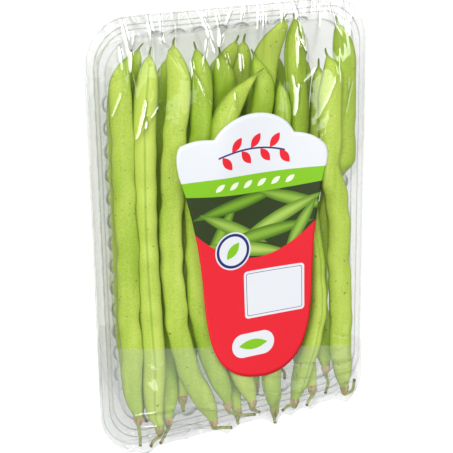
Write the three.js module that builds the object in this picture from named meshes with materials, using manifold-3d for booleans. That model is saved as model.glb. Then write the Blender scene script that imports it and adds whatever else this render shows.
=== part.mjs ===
// A tray of flat green beans: a clear tray with a stepped rim and fluted walls, the
// beans that lie lengthways in it, the stretch film round it all, and a paper label.
// Millimetres. Inside this file the origin is the middle of the rim's top face, with +X
// across the tray, +Y along the beans towards their beaks and +Z up out of the tray. The
// exported group is moved, so that the pack rests on z = 0 with its middle over the origin.
import * as THREE from "three";
import { mergeVertices } from "three/addons/utils/BufferGeometryUtils.js";
import Module from "manifold-3d";

const wasm = await Module();
wasm.setup();

// Tray: half sizes across and along, distances in from the rim's edge, and heights from
// the rim's top face. A corner's radius shrinks by a share of the distance in.
const RIM = { x: 79, y: 111.5, radius: 22 };
const CORNER_TIGHTENS = 0.45;
const FLANGE = 4;
const STEP_IN = 6.7;
const LEDGE_IN = 10.8;
const LEDGE_Z = -2;
const DEPTH = 33;
const WALL_TAPER = 7;
const WALL = 0.7;
const FLUTE = { pitch: 11.7, width: 6.5, crown: 0.48, deep: 2.2, deepAtBase: 0.5 };
const CORNER_STEPS = 5;

// The gap between pieces that touch
const GAP = 0.35;

// Film: a thick stand-in for a stretch film. It clears the rim and the tray's foot, its
// corner over a bean's end is sharper, and its laps leave a narrow slot underneath.
const FILM = 0.6;
const FILM_CLEAR = 0.8;
const FOOT_CLEAR = 2.6;
const PUSHED_RADIUS = 11;
const SEAM = { x: 40, y: 0.8 };
const FILM_ROWS = 24;
const FILM_COLUMNS = 15;
const EVEN_ROWS = 0.3;
const FILM_LIFT = 1;
const NEAR = { inside: 10, border: 7.5 };
const DRAWN_TIMES = 200;

// What pokes past the rim at the stem end pushes the film out: where along +X, and how far
const TENTS = [
  { x: -67, out: 4.5 },
  { x: -56, out: 5.5 },
  { x: -32, out: 3 },
  { x: -7, out: 6.5 },
  { x: 21, out: 6.8 },
  { x: 33, out: 5.5 },
  { x: 46, out: 5 },
  { x: 70, out: 6.5 },
];
const TENT = { reach: 15, power: 1.6, least: 2.2, from: 85 };

// Label: a paper sheet that lies on the film
const LABEL = 0.6;
const LABEL_LIFT = 0.8;
const LABEL_MIDDLE = { x: 9, y: -14 };
const LABEL_RINGS = 5;

// Beans: their sections lie in planes across the tray, every second one of them but for
// the stem end, where every one is used
const PLANE = 4;
const PLANES = 61;
const FINE_BELOW = -84;
const BEAK = { radius: 1.1, bare: 6, swell: 20, power: 0.75 };
const BEAK_RINGS = [13, 8.5, 5, 0];
const NECK = { wide: 3.4, thick: 2.9, power: 0.95 };
const NECK_RING = 3.5;
const STEM = { radius: 1.15, sides: 6, steps: 5, root: 2.5 };

// Calyx: rings by their distance past the pod's end and their radius
const CALYX = [
  [0.8, 3.0],
  [-0.8, 3.7],
  [-3.2, 2.5],
  [-5, 1.4],
];
const CALYX_LONG = 6;

// The heap: the space between two pods, and under one that rests on the ledge, how high
// the film lets it rise over the rim in the tray's middle, right of the label and at its
// ends, and how much a pod deep in it gives way
const BETWEEN = 0.6;
const LEDGE_CLEAR = 0.9;
const CEILING = { middle: 6, besideLabel: 12, ends: 9, from: 70, to: 95 };
const DEEP = { below: -8, gives: 2 };
const FLANK = 0.7;
const SETTLING = { rounds: 1600, drawn: 0.6, hold: 0.97, smooth: 0.4 };

const podMaterial = new THREE.MeshStandardMaterial({ color: 0xa9cf4c, roughness: 0.5, metalness: 0 });
const trayMaterial = new THREE.MeshStandardMaterial({
  color: 0xe8efee,
  roughness: 0.12,
  metalness: 0,
  transparent: true,
  opacity: 0.35,
});
const filmMaterial = new THREE.MeshStandardMaterial({
  color: 0xf4f7f6,
  roughness: 0.08,
  metalness: 0,
  transparent: true,
  opacity: 0.2,
});
const labelMaterial = new THREE.MeshStandardMaterial({ color: 0xe9ecef, roughness: 0.45, metalness: 0 });

const clamp = THREE.MathUtils.clamp;
const point = (x, y, z) => new THREE.Vector3(x, y, z);

// A closed skin, gathered as triangles. All its rings turn the same way, clockwise for
// someone who looks at the first cap from outside, and then its faces point out.
class Skin {
  constructor() {
    this.corners = [];
  }

  triangle(a, b, c) {
    this.corners.push(a, b, c);
  }

  band(near, far) {
    near.forEach((a, i) => {
      const next = (i + 1) % near.length;
      this.triangle(a, near[next], far[next]);
      this.triangle(a, far[next], far[i]);
    });
  }

  startCap(ring, centre) {
    ring.forEach((a, i) => this.triangle(centre, ring[(i + 1) % ring.length], a));
  }

  endCap(ring, centre) {
    ring.forEach((a, i) => this.triangle(a, ring[(i + 1) % ring.length], centre));
  }

  loft(rings) {
    for (let i = 1; i < rings.length; i++) this.band(rings[i - 1], rings[i]);
  }

  // A flat strip between two level loops, facing up or down.
  annulus(outer, inner, up) {
    const flat = (loop) => loop.map((p) => new THREE.Vector2(p.x, p.y));
    const all = [...outer, ...inner];
    for (const [i, j, k] of THREE.ShapeUtils.triangulateShape(flat(outer), [flat(inner)])) {
      const turn = (all[j].x - all[i].x) * (all[k].y - all[i].y)
        - (all[j].y - all[i].y) * (all[k].x - all[i].x);
      if (turn > 0 === up) this.triangle(all[i], all[j], all[k]);
      else this.triangle(all[i], all[k], all[j]);
    }
  }

  geometry() {
    const loose = new THREE.BufferGeometry().setFromPoints(this.corners);
    return mergeVertices(loose, 1e-3);
  }
}

// A geometry as a manifold-3d solid, and back.
function solidOf(geometry) {
  const bare = geometry.index ? geometry.toNonIndexed() : geometry.clone();
  bare.deleteAttribute("normal");
  bare.deleteAttribute("uv");
  const merged = mergeVertices(bare, 1e-3);
  return new wasm.Manifold(
    new wasm.Mesh({
      numProp: 3,
      vertProperties: merged.attributes.position.array,
      triVerts: new Uint32Array(merged.index.array),
    }),
  );
}

function geometryOf(solid) {
  const mesh = solid.getMesh();
  return new THREE.BufferGeometry()
    .setAttribute("position", new THREE.BufferAttribute(mesh.vertProperties, 3))
    .setIndex(new THREE.BufferAttribute(mesh.triVerts, 1));
}

const cornerRadius = (inset) => RIM.radius - CORNER_TIGHTENS * inset;

// The film's corners follow the rim, but for the one that a bean pushes out.
const filmRadius = (right, stemEnd) => (right && stemEnd ? PUSHED_RADIUS : RIM.radius);

// The rounded rectangle that lies a distance inside the rim's edge, at a height.
function roundedLoop(inset, z) {
  const radius = cornerRadius(inset);
  const cx = RIM.x - inset - radius;
  const cy = RIM.y - inset - radius;
  const loop = [];
  [[1, 1], [-1, 1], [-1, -1], [1, -1]].forEach(([sx, sy], quarter) => {
    for (let i = 0; i <= CORNER_STEPS; i++) {
      const angle = ((quarter + i / CORNER_STEPS) * Math.PI) / 2;
      loop.push(point(sx * cx + radius * Math.cos(angle), sy * cy + radius * Math.sin(angle), z));
    }
  });
  return loop;
}

// The same loop with a row of flutes that bulge outwards along each straight side.
function flutedLoop(inset, z, deep) {
  const plain = roundedLoop(inset, z);
  const perCorner = CORNER_STEPS + 1;
  const crown = FLUTE.crown / 2;
  const loop = [];
  for (let side = 0; side < 4; side++) {
    const corner = plain.slice(side * perCorner, (side + 1) * perCorner);
    loop.push(...corner);
    const from = corner[perCorner - 1];
    const to = plain[((side + 1) * perCorner) % plain.length];
    const along = to.clone().sub(from);
    const length = along.length();
    along.normalize();
    const out = point(along.y, -along.x, 0);
    const count = side % 2 ? FLUTES.y : FLUTES.x;
    for (let i = 0; i < count; i++) {
      const middle = length / 2 + (i - (count - 1) / 2) * FLUTE.pitch;
      for (const [share, rise] of [[-0.5, 0], [-crown, 1], [crown, 1], [0.5, 0]])
        loop.push(
          from
            .clone()
            .addScaledVector(along, middle + share * FLUTE.width)
            .addScaledVector(out, rise * deep),
        );
    }
  }
  return loop;
}

// How many flutes fit on the straight part of the ends (x) and of the long sides (y)
const BASE_IN = LEDGE_IN + WALL_TAPER;
const straight = (half) => 2 * (half - BASE_IN - cornerRadius(BASE_IN));
const FLUTES = {
  x: Math.floor(straight(RIM.x) / FLUTE.pitch),
  y: Math.floor(straight(RIM.y) / FLUTE.pitch),
};

function trayGeometry() {
  const skin = new Skin();
  const floor = -DEPTH;
  const under = {
    base: flutedLoop(BASE_IN - WALL, floor - WALL, FLUTE.deepAtBase),
    wallTop: flutedLoop(LEDGE_IN - WALL, LEDGE_Z - WALL, FLUTE.deep),
    stepFoot: roundedLoop(STEP_IN - WALL, LEDGE_Z - WALL),
  };
  const above = {
    stepFoot: roundedLoop(STEP_IN, LEDGE_Z),
    wallTop: flutedLoop(LEDGE_IN, LEDGE_Z, FLUTE.deep),
    base: flutedLoop(BASE_IN, floor, FLUTE.deepAtBase),
  };
  skin.startCap(under.base, point(0, 0, floor - WALL));
  skin.band(under.base, under.wallTop);
  skin.annulus(under.stepFoot, under.wallTop, false);
  skin.loft([
    under.stepFoot,
    roundedLoop(FLANGE, -WALL),
    roundedLoop(0, -WALL),
    roundedLoop(0, 0),
    roundedLoop(FLANGE + WALL, 0),
    above.stepFoot,
  ]);
  skin.annulus(above.stepFoot, above.wallTop, true);
  skin.band(above.wallTop, above.base);
  skin.endCap(above.base, point(0, 0, floor));
  return skin.geometry();
}

// Each bean: its middle line from the stem end to the beak's point, its width and
// thickness, the roll of its flat face (0 faces up, 90 is on edge), and its stem's
// bends, measured from the end of the pod. Heights start from the rim's top face. Two
// stand higher, beside the label, and one of them lies on the ledge from a place on.
const BEANS = [
  // the top of the heap, left to right
  {
    line: [[-67.6, -96, 2], [-64, -80, -2], [-62.6, -54, -5], [-63.7, -23, -6], [-63.3, 22, -6],
      [-62.6, 72, -6], [-58.5, 87, -6], [-52, 97, -5]],
    wide: 12.8, thick: 8.5, roll: 8, taper: 34, stem: [[0, -9, 1], [0.4, -15, 0]],
  },
  {
    line: [[-52, -103, 4], [-51.5, -90, 1], [-50.2, -57, -4], [-50.6, -25, -5], [-52, 20, -5],
      [-45.7, 77, -5], [-43, 97, -4]],
    wide: 13.2, thick: 10.5, roll: 78, taper: 30, stem: [[-3, -6, -1], [-5, -9, -1]],
  },
  {
    line: [[-16, -107, 4], [-22, -93, 2], [-31.6, -61, -3], [-38, -20, -5], [-38, 3, -5],
      [-35.5, 32, -5], [-30.6, 76, -5], [-33.5, 92, -5], [-35, 101, -3]],
    wide: 13.4, thick: 9, roll: 24, taper: 20, stem: [[4, -4, 1], [10, -5.5, 1]],
  },
  {
    line: [[-8.8, -98, 6], [-14, -82, 2], [-21, -56, -2], [-25, -30, -4], [-26.7, 1, -4],
      [-19.4, 45, -5], [-18, 74, -5], [-20.5, 90, -4], [-25, 98, -3]],
    wide: 12.4, thick: 9, roll: 20, taper: 20, stem: [[6, -6.5, 2.5], [15, -8.5, 2.5]],
  },
  {
    line: [[4.9, -101, 4], [1, -88, 1], [-6, -50, -2], [-11, 0, -2], [-11, 25, 0], [-7.2, 53, 2],
      [-2.9, 63, 3], [2.9, 71, 4], [11.3, 77.4, 4], [20.5, 83, 4]],
    wide: 13, thick: 9, roll: 4, taper: 26, stem: [[2, -5, -1], [5, -7, -1]],
  },
  {
    line: [[12.5, -95, -4], [10, -84, -4], [6, -60, -4], [5, -20, -4], [8, 20, -5], [19, 57, -5],
      [19.5, 72, -5], [14, 90, -8]],
    wide: 12.6, thick: 8.5, roll: -6, taper: 26, stem: [[1, -3, 0], [2, -6, -1]],
  },
  {
    line: [[28.5, -92, -6], [26.5, -76, -6], [21, -50, -5], [21, 0, -5], [27, 30, -5], [31, 52, -4],
      [29, 66, -3], [26.6, 76, -2]],
    wide: 12.6, thick: 9.5, roll: 76, taper: 26, stem: [[0, -6, 2], [0, -9, 3]],
  },
  {
    line: [[19.5, -110, 4], [17, -92, 3], [24, -55, 0], [32, -20, -3], [37, 15, -5], [39.1, 46, -5],
      [37.8, 75, -5], [36, 97, -4], [32, 109, 0]],
    wide: 12.8, thick: 9, roll: -14, taper: 30, stem: null,
  },
  {
    line: [[33, -107, 4], [40.5, -90, 2], [48, -71, 0], [53, -47, -3], [54.6, -15, -5], [54.6, 18, -6],
      [54.4, 49, -7], [54.1, 81, -8]],
    wide: 12.6, thick: 9, roll: 70, taper: 22, stem: [[-3, -2, 0], [-8, -4, 0]],
  },
  {
    line: [[68.5, -107, 4], [65.5, -95, 4], [62.5, -80, 4], [59.6, -31, 5], [60, 18, 8],
      [60, 65, 8], [56, 80, 7], [50.5, 89, 5]],
    wide: 12.5, thick: 9, roll: 12, taper: 30, stem: [[3, -2, 2], [4, 6, 4]], besideLabel: true,
  },
  // the middle of the heap
  {
    line: [[-58, -92, -6], [-57, -80, -11], [-57, -50, -17], [-57, 10, -17.5], [-55, 70, -16],
      [-49, 100, -9]],
    wide: 13.5, thick: 8.5, roll: 10, taper: 30, stem: [[-0.3, -5.5, 3], [-0.5, -7, 7]],
  },
  {
    line: [[-43.5, -101, 1], [-39.5, -83, -6], [-37, -60, -14], [-38, 0, -17], [-36, 50, -16],
      [-29, 93, -12]],
    wide: 13.5, thick: 8.5, roll: -5, taper: 24, stem: [[-2.5, -7, 1], [-6, -11, 2]],
  },
  {
    line: [[-31.5, -94, -8], [-30, -84, -11], [-24, -60, -15], [-19, 0, -17], [-17, 50, -16],
      [-13, 88, -13]],
    wide: 13.5, thick: 8.5, roll: 5, taper: 24, stem: null,
  },
  {
    line: [[-5.4, -105, 2], [-4, -90, -5], [-2, -60, -14], [-1, -10, -16], [0, 30, -16], [-1, 70, -12],
      [-4.6, 93, -9]],
    wide: 13.5, thick: 9, roll: 0, taper: 24, stem: null,
  },
  {
    line: [[44.5, -103, 1], [46.5, -92, -6], [45, -60, -13], [32, 0, -17], [22, 50, -15],
      [22.5, 83, -11], [29, 109, -2]],
    wide: 14, thick: 9, roll: 12, taper: 24, stem: [[-2.5, -5, 1], [-5, -8, 2]],
  },
  {
    line: [[34, -90, -12], [36, -70, -16], [42, -30, -17.5], [47, 10, -17.5], [48, 55, -15],
      [48.8, 85, -9]],
    wide: 13.5, thick: 8.5, roll: 14, taper: 30, stem: [[0, -5, 4], [-1, -8, 6]],
  },
  {
    line: [[57.5, -95, -4], [57.5, -80, -9], [60, -60, -13], [61.5, -30, -9], [64.5, 20, 1.5], [65, 70, 3],
      [62.5, 90, 3], [57, 104.5, 3]],
    wide: 13.5, thick: 8.5, roll: -8, taper: 26, stem: [[-1, -6, 4], [-4, -12, 6]], besideLabel: true,
    onLedgeFrom: 20,
  },
  // the bottom of the heap
  {
    line: [[-50, -84, -27], [-47, -40, -28.5], [-47, 20, -28.5], [-46, 84, -27]],
    wide: 13.5, thick: 8.5, roll: 0, taper: 30, stem: [[1, -4, 2], [2, -7, 4]],
  },
  {
    line: [[-26, -82, -27], [-28, -30, -28.5], [-26, 30, -28.5], [-24, 86, -26]],
    wide: 14, thick: 8.5, roll: 6, taper: 30, stem: [[-1, -4, 2], [-3, -8, 4]],
  },
  {
    line: [[-4, -85, -27], [-6, -30, -28.5], [-5, 30, -28], [6.5, 99, -12]],
    wide: 13.5, thick: 8.5, roll: -4, taper: 30, stem: [[1, -3, 2], [1, -5, 3]],
  },
  {
    line: [[20, -83, -27], [18, -30, -28.5], [14, 30, -27], [13, 97, -13]],
    wide: 13.5, thick: 8.5, roll: 5, taper: 30, stem: [[-1, -4, 2], [-2, -8, 4]],
  },
  {
    line: [[44, -84, -27], [43, -20, -28.5], [40, 30, -28.5], [39, 86, -25]],
    wide: 13.5, thick: 8.5, roll: 0, taper: 30, stem: [[1, -4, 2], [1, -8, 4]],
  },
];

// A smooth value through a line's points, read at a place along +Y.
function along(line, y, axis) {
  const last = line.length - 1;
  let i = 0;
  while (i < last - 1 && y > line[i + 1][1]) i++;
  const slope = (k) => {
    const before = line[Math.max(k - 1, 0)];
    const after = line[Math.min(k + 1, last)];
    return (after[axis] - before[axis]) / (after[1] - before[1]);
  };
  const [a, b] = [line[i], line[i + 1]];
  const span = b[1] - a[1];
  const t = clamp((y - a[1]) / span, 0, 1);
  const rise = t * t * (3 - 2 * t);
  return (
    a[axis] * (1 - rise) + b[axis] * rise
    + span * (slope(i) * t * (1 - t) ** 2 - slope(i + 1) * t * t * (1 - t))
  );
}

const swell = (t) => Math.sin((clamp(t, 0, 1) * Math.PI) / 2);

// Half width and half thickness of a pod: a fine beak that swells to the full section,
// and a neck at the stem end.
function halfSizes(bean, y) {
  const fromBeak = bean.tip - y;
  const fromNeck = y - bean.end;
  const beak = swell((fromBeak - BEAK.bare) / BEAK.swell) ** BEAK.power;
  const neck = swell(fromNeck / bean.taper) ** NECK.power;
  const grow = (full, low) =>
    Math.min(BEAK.radius + (full - BEAK.radius) * beak, low + (full - low) * neck);
  return [grow(bean.wide / 2, NECK.wide), grow(bean.thick / 2, NECK.thick)];
}

const planeY = (k) => (k - (PLANES - 1) / 2) * PLANE;

// One bean ready to settle: for each plane that it crosses, its goal and its section,
// a core line with a round of one radius about it.
function prepare(bean) {
  const end = bean.line[0][1];
  const tip = bean.line[bean.line.length - 1][1];
  const ready = { ...bean, end, tip, cuts: [] };
  for (let k = 0; k < PLANES; k++) {
    const y = planeY(k);
    if (y < end - CALYX_LONG || y > tip + PLANE / 2) continue;
    const [half, thin] = halfSizes(ready, clamp(y, end, tip));
    const slant = (along(bean.line, y + PLANE / 2, 0) - along(bean.line, y - PLANE / 2, 0)) / PLANE;
    const stretch = Math.hypot(1, slant);
    const turn = THREE.MathUtils.degToRad(bean.roll);
    const core = Math.max(half - thin, 0);
    const goal = { x: along(bean.line, y, 0), z: along(bean.line, y, 2) };
    ready.cuts.push({
      k,
      y,
      goal,
      x: goal.x,
      z: goal.z,
      hx: core * Math.cos(turn) * stretch,
      hz: core * Math.sin(turn),
      r: Math.min(half, thin) * stretch,
      loose: goal.z < DEEP.below ? DEEP.gives : 1,
      middleCeiling: bean.besideLabel ? CEILING.besideLabel : CEILING.middle,
      onLedge: y > bean.onLedgeFrom,
    });
  }
  return ready;
}

// The shortest way from one section's core line to another's.
function shortest(a, b) {
  let best = { d: Infinity };
  for (const [p, q, sign] of [[a, b, 1], [b, a, -1]])
    for (const side of [-1, 1]) {
      const x = p.x + side * p.hx;
      const z = p.z + side * p.hz;
      const long = q.hx * q.hx + q.hz * q.hz;
      const share = long ? clamp(((x - q.x) * q.hx + (z - q.z) * q.hz) / long, -1, 1) : 0;
      const dx = sign * (q.x + share * q.hx - x);
      const dz = sign * (q.z + share * q.hz - z);
      const d = Math.hypot(dx, dz);
      if (d < best.d) best = { d, dx, dz };
    }
  return best;
}

// What a section may rest on at a place along the tray: the floor, the sloped end wall,
// the ledge and the rim.
function floorAt(y) {
  const edge = Math.abs(y) + PLANE / 2;
  const foot = RIM.y - LEDGE_IN - WALL_TAPER;
  const profile = [
    [foot, -DEPTH],
    [foot + WALL_TAPER, LEDGE_Z],
    [RIM.y - STEP_IN, LEDGE_Z],
    [RIM.y - FLANGE, 0],
  ];
  if (edge <= foot) return -DEPTH;
  for (let i = 1; i < profile.length; i++) {
    const [[y0, z0], [y1, z1]] = [profile[i - 1], profile[i]];
    if (edge <= y1) return z0 + ((z1 - z0) * (edge - y0)) / (y1 - y0);
  }
  return 0;
}

// How far out the side stands at a height, for a section at a place along the tray.
function sideAt(y, z, right) {
  const overRim = z >= 1;
  let inset = 1;
  if (z < LEDGE_Z) inset = LEDGE_IN - (WALL_TAPER * (z - LEDGE_Z)) / (DEPTH + LEDGE_Z);
  else if (!overRim) inset = STEP_IN + 1;
  const radius = overRim ? filmRadius(right, y < 0) : cornerRadius(inset);
  const past = Math.max(Math.abs(y) + PLANE / 2 - (RIM.y - inset - radius), 0);
  return RIM.x - inset - radius + Math.sqrt(Math.max(radius * radius - past * past, 0));
}

function keepInTray(cut) {
  const rise = floorAt(cut.y) + GAP + cut.r + Math.abs(cut.hz) - cut.z;
  if (rise > 0) cut.z += rise;
  const nearEnd = clamp((Math.abs(cut.y) - CEILING.from) / (CEILING.to - CEILING.from), 0, 1);
  const ceiling = cut.middleCeiling + (CEILING.ends - cut.middleCeiling) * nearEnd;
  const press = cut.z + cut.r + Math.abs(cut.hz) - ceiling;
  if (press > 0) cut.z -= press;
  const flank = Math.abs(cut.hz) + cut.r * FLANK;
  if (cut.onLedge) cut.z = Math.max(cut.z, LEDGE_Z + LEDGE_CLEAR + flank);
  const low = cut.z - flank;
  const body = GAP + cut.r + Math.abs(cut.hx);
  cut.x = clamp(cut.x, body - sideAt(cut.y, low, false), sideAt(cut.y, low, true) - body);
}

// Draws a bean's sections back towards their goals and in line with their neighbours.
function drawToGoal(bean) {
  const shift = bean.cuts.map((cut) => [cut.x - cut.goal.x, cut.z - cut.goal.z]);
  bean.cuts.forEach((cut, i) => {
    const before = shift[Math.max(i - 1, 0)];
    const after = shift[Math.min(i + 1, shift.length - 1)];
    const ease = (axis) => {
      const bend = before[axis] + after[axis] - 2 * shift[i][axis];
      return SETTLING.hold * (shift[i][axis] + SETTLING.smooth * bend);
    };
    cut.x = cut.goal.x + ease(0);
    cut.z = cut.goal.z + ease(1);
  });
}

// Pushes the sections apart plane by plane, as a heap settles: at first each bean is
// drawn back to its goal as well.
function settle(beans) {
  const byPlane = Array.from({ length: PLANES }, () => []);
  for (const bean of beans) for (const cut of bean.cuts) byPlane[cut.k].push(cut);
  for (let round = 0; round < SETTLING.rounds; round++) {
    if (round <= SETTLING.rounds * SETTLING.drawn) beans.forEach(drawToGoal);
    for (const cuts of byPlane)
      for (let i = 0; i < cuts.length; i++)
        for (let j = i + 1; j < cuts.length; j++) {
          const way = shortest(cuts[i], cuts[j]);
          const short = cuts[i].r + cuts[j].r + BETWEEN - way.d;
          if (short <= 0) continue;
          const push = short / Math.max(way.d, 1e-6);
          const share = cuts[j].loose / (cuts[i].loose + cuts[j].loose);
          cuts[i].x -= way.dx * push * (1 - share);
          cuts[i].z -= way.dz * push * (1 - share);
          cuts[j].x += way.dx * push * share;
          cuts[j].z += way.dz * push * share;
        }
    for (const cuts of byPlane) cuts.forEach(keepInTray);
  }
}

// Where a settled bean's middle line passes at any place along +Y.
function middleAt(bean, y) {
  const cuts = bean.cuts;
  const place = clamp((y - cuts[0].y) / PLANE, 0, cuts.length - 1);
  const i = Math.min(Math.floor(place), cuts.length - 2);
  const t = place - i;
  const off = (cut, axis) => cut[axis] - cut.goal[axis];
  const shift = (axis) => off(cuts[i], axis) * (1 - t) + off(cuts[i + 1], axis) * t;
  return { x: along(bean.line, y, 0) + shift("x"), z: along(bean.line, y, 2) + shift("z") };
}

// A pod's section: an oval with its two seams at the ends of the long way.
const SHOULDER = { across: 0.68, up: 0.82 };
const SECTION = [
  [1, 0],
  [SHOULDER.across, SHOULDER.up],
  [0, 1],
  [-SHOULDER.across, SHOULDER.up],
  [-1, 0],
  [-SHOULDER.across, -SHOULDER.up],
  [0, -1],
  [SHOULDER.across, -SHOULDER.up],
];

function podRing(bean, y, half, thin) {
  const { x, z } = middleAt(bean, y);
  const near = middleAt(bean, y - PLANE / 2);
  const far = middleAt(bean, y + PLANE / 2);
  const across = Math.hypot(1, (far.x - near.x) / PLANE);
  const turn = THREE.MathUtils.degToRad(bean.roll);
  return SECTION.map(([u, v]) =>
    point(
      x + (u * half * Math.cos(turn) - v * thin * Math.sin(turn)) * across,
      y,
      z + u * half * Math.sin(turn) + v * thin * Math.cos(turn),
    ),
  );
}

// A whole bean: pod, beak and calyx in one skin, with the stem joined to it.
function beanGeometry(bean) {
  const places = [bean.end + NECK_RING];
  for (let k = 0; k < PLANES; k++) {
    const y = planeY(k);
    const wanted = k % 2 === 0 || y < FINE_BELOW;
    const clear = y > places[0] + PLANE / 2 && y < bean.tip - BEAK_RINGS[0] - PLANE / 2;
    if (wanted && clear) places.push(y);
  }
  for (const back of BEAK_RINGS) places.push(bean.tip - back);
  const rings = CALYX.map(([shift, radius]) => podRing(bean, bean.end + shift, radius, radius)).reverse();
  for (const y of places) rings.push(podRing(bean, y, ...halfSizes(bean, y)));
  const skin = new Skin();
  const centre = (ring) => ring.reduce((sum, p) => sum.add(p), point(0, 0, 0)).divideScalar(ring.length);
  // Sections turn the other way round +Y, so the skin runs from the beak to the stem.
  rings.reverse();
  skin.startCap(rings[0], centre(rings[0]));
  skin.loft(rings);
  skin.endCap(rings[rings.length - 1], centre(rings[rings.length - 1]));
  const pod = skin.geometry();
  if (!bean.stem) return pod;
  return geometryOf(solidOf(pod).add(solidOf(stemGeometry(bean))));
}

function stemGeometry(bean) {
  const root = middleAt(bean, bean.end - STEM.root);
  const start = point(root.x, bean.end - STEM.root, root.z);
  const foot = point(root.x, bean.end, root.z);
  const path = new THREE.CatmullRomCurve3([start, ...bean.stem.map((s) => point(...s).add(foot))]);
  const round = new THREE.Shape(
    Array.from({ length: STEM.sides }, (_, i) => {
      const angle = (i * 2 * Math.PI) / STEM.sides;
      return new THREE.Vector2(STEM.radius * Math.cos(angle), STEM.radius * Math.sin(angle));
    }),
  );
  return new THREE.ExtrudeGeometry(round, { steps: STEM.steps, extrudePath: path, bevelEnabled: false });
}

// How far the film is pushed out past the rim at the stem end, at a place along +X.
function tentAt(x) {
  const share = (tent) => Math.max(1 - Math.abs(x - tent.x) / TENT.reach, 0) ** TENT.power;
  return Math.max(TENT.least, ...TENTS.map((tent) => tent.out * share(tent)));
}

// The film's grid: rows run across the pack, close together near its ends, and columns
// run along it. Each row ends on the outline.
function filmGrid() {
  const edge = { x: RIM.x + FILM_CLEAR, y: RIM.y + FILM_CLEAR };
  const grid = [];
  for (let i = 0; i < FILM_ROWS; i++) {
    const level = 2 * i / (FILM_ROWS - 1) - 1;
    const y = edge.y * (EVEN_ROWS * level + (1 - EVEN_ROWS) * Math.sin((level * Math.PI) / 2));
    const [left, right] = [false, true].map((side) => {
      const radius = filmRadius(side, y < 0);
      const past = Math.max(Math.abs(y) - (edge.y - radius), 0);
      return edge.x - radius + Math.sqrt(radius ** 2 - past ** 2);
    });
    grid.push(
      Array.from({ length: FILM_COLUMNS }, (_, j) => {
        const x = THREE.MathUtils.lerp(-left, right, j / (FILM_COLUMNS - 1));
        const push = y < 0 ? tentAt(x) * clamp((-y - TENT.from) / (edge.y - TENT.from), 0, 1) : 0;
        return point(x, y - push, GAP);
      }),
    );
  }
  return grid;
}

// Lays the film over the heap: each of its points rises to clear what is near it, and
// the rest is drawn straight between them, as a taut film is.
function stretchOver(grid, obstacles) {
  const low = grid.map((row, i) =>
    row.map((p, j) => {
      const border = i === 0 || j === 0 || i === grid.length - 1 || j === row.length - 1;
      const reach = border ? NEAR.border : NEAR.inside;
      const top = border && i > 0 ? GAP : GAP + FILM_LIFT;
      const isNear = (o) => Math.abs(o.x - p.x) < reach && Math.abs(o.y - p.y) < reach;
      return obstacles.filter(isNear).reduce((high, o) => Math.max(high, o.z + FILM_LIFT), top);
    }),
  );
  grid.forEach((row, i) => row.forEach((p, j) => p.setZ(low[i][j])));
  for (let round = 0; round < DRAWN_TIMES; round++)
    for (let i = 1; i < grid.length - 1; i++)
      for (let j = 1; j < grid[i].length - 1; j++) {
        const drawn = (grid[i - 1][j].z + grid[i + 1][j].z + grid[i][j - 1].z + grid[i][j + 1].z) / 4;
        grid[i][j].z = Math.max(low[i][j], drawn);
      }
}

// The grid's border, anticlockwise seen from above.
function borderOf(grid) {
  const last = grid.length - 1;
  return [
    ...grid[0],
    ...grid.slice(1, last).map((row) => row[row.length - 1]),
    ...[...grid[last]].reverse(),
    ...grid.slice(1, last).map((row) => row[0]).reverse(),
  ];
}

function filmGeometry(grid) {
  const skin = new Skin();
  const cover = (lift, up) => {
    const at = (i, j) => grid[i][j].clone().add(point(0, 0, lift));
    for (let i = 1; i < grid.length; i++)
      for (let j = 1; j < grid[i].length; j++) {
        const quad = [at(i - 1, j - 1), at(i - 1, j), at(i, j), at(i, j - 1)];
        if (!up) quad.reverse();
        skin.triangle(quad[0], quad[1], quad[2]);
        skin.triangle(quad[0], quad[2], quad[3]);
      }
  };
  const border = borderOf(grid);
  const foot = { x: RIM.x - BASE_IN + FOOT_CLEAR, y: RIM.y - BASE_IN + FOOT_CLEAR };
  const seat = -DEPTH - WALL - GAP;
  const out = (p, by) => p.clone().add(point(Math.sign(p.x) * by, Math.sign(p.y) * by, 0));
  const ring = (by, z) => border.map((p) => out(p, by).setZ(z));
  const footRing = (by, z) =>
    border.map((p) => {
      const shrink = Math.min((foot.x + by) / RIM.x, (foot.y + by) / RIM.y);
      return point(p.x * shrink, clamp(p.y, -RIM.y, RIM.y) * ((foot.y + by) / RIM.y), z);
    });
  const seam = (z) => border.map((p) => point((p.x / RIM.x) * SEAM.x, (p.y / RIM.y) * SEAM.y, z));
  cover(0, false);
  skin.loft([
    border,
    ring(0, -WALL - GAP),
    footRing(0, seat),
    seam(seat),
    seam(seat - FILM),
    footRing(FILM, seat - FILM),
    ring(FILM, -WALL - GAP - FILM / 2),
    ring(FILM, 0).map((p, i) => p.setZ(border[i].z)),
    border.map((p) => p.clone().setZ(p.z + FILM)),
  ]);
  cover(FILM, true);
  return skin.geometry();
}

// The height of the film's upper face at a place in plan.
function filmHeight(grid, x, y) {
  for (let i = 1; i < grid.length; i++)
    for (let j = 1; j < grid[i].length; j++) {
      const [a, b, c, d] = [grid[i - 1][j - 1], grid[i - 1][j], grid[i][j], grid[i][j - 1]];
      for (const [p, q, r] of [[a, b, c], [a, c, d]]) {
        const spot = new THREE.Triangle(
          point(p.x, p.y, 0),
          point(q.x, q.y, 0),
          point(r.x, r.y, 0),
        ).getBarycoord(point(x, y, 0), point(0, 0, 0));
        if (spot && Math.min(spot.x, spot.y, spot.z) > -1e-6)
          return p.z * spot.x + q.z * spot.y + r.z * spot.z + FILM;
      }
    }
  return FILM;
}

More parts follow.
